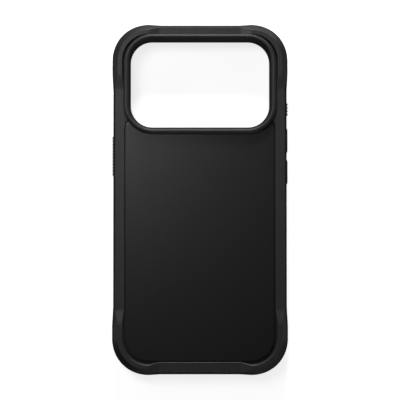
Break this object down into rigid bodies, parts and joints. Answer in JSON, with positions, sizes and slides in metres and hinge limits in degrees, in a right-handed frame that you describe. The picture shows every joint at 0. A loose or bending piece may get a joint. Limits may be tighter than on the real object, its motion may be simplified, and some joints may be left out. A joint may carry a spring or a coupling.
{
  "type": "phone case",
  "caption": "Rugged phone case with thick corner lobes, a flat set-in back, a raised ring round a wide camera window, side button covers and an open front.",
  "frame": {"origin": "centre of the case's rectangle at the front lip's face, on which the case lies", "axes": "+Y to the camera end, +Z out of the case's back, +X to the volume-button side"},
  "size_m": [0.0788, 0.1564, 0.0148],
  "materials": {
    "bumper_tpu": "matt soft-touch moulded rubber, very slightly blue black",
    "ring_tpu": "matt moulded, same black as the bumper",
    "tray_plastic": "fine satin moulded black",
    "panel_plastic": "soft-touch matt black with a very fine grain",
    "adhesive_film": "clear-white double-sided film",
    "carrier_film": "thin white film",
    "lining_fabric": "short-pile charcoal microfibre",
    "magnet_nickel": "nickel-plated, satin",
    "button_rubber": "matt moulded black",
    "pusher_plastic": "satin black"
  },
  "bodies": {
    "case": {"bumper": "bumper_tpu", "inner_shell": "tray_plastic", "back_panel": "panel_plastic", "panel_adhesive": "adhesive_film", "camera_ring": "ring_tpu", "lining_sheet": "lining_fabric", "magnet_carrier": "carrier_film", "orientation_magnet": "magnet_nickel", "magnet_01": "magnet_nickel", "magnet_02": "magnet_nickel", "magnet_03": "magnet_nickel", "magnet_04": "magnet_nickel", "magnet_05": "magnet_nickel", "magnet_06": "magnet_nickel", "magnet_07": "magnet_nickel", "magnet_08": "magnet_nickel", "magnet_09": "magnet_nickel", "magnet_10": "magnet_nickel", "magnet_11": "magnet_nickel", "magnet_12": "magnet_nickel", "magnet_13": "magnet_nickel", "magnet_14": "magnet_nickel", "magnet_15": "magnet_nickel", "magnet_16": "magnet_nickel", "magnet_17": "magnet_nickel", "magnet_18": "magnet_nickel"},
    "power_key": {"power_button": "button_rubber", "power_pusher": "pusher_plastic"},
    "action_key": {"action_button": "button_rubber", "action_pusher": "pusher_plastic"},
    "volume_up_key": {"volume_up_button": "button_rubber", "volume_up_pusher": "pusher_plastic"},
    "volume_down_key": {"volume_down_button": "button_rubber", "volume_down_pusher": "pusher_plastic"}
  },
  "joints": [
    {"name": "power_press", "type": "slide", "parent": "case", "child": "power_key", "axis": [1, 0, 0], "range_m": [0, 0.0004], "stiffness_N_per_m": 1500},
    {"name": "action_press", "type": "slide", "parent": "case", "child": "action_key", "axis": [-1, 0, 0], "range_m": [0, 0.0004], "stiffness_N_per_m": 1500},
    {"name": "volume_up_press", "type": "slide", "parent": "case", "child": "volume_up_key", "axis": [-1, 0, 0], "range_m": [0, 0.0004], "stiffness_N_per_m": 1500},
    {"name": "volume_down_press", "type": "slide", "parent": "case", "child": "volume_down_key", "axis": [-1, 0, 0], "range_m": [0, 0.0004], "stiffness_N_per_m": 1500}
  ]
}
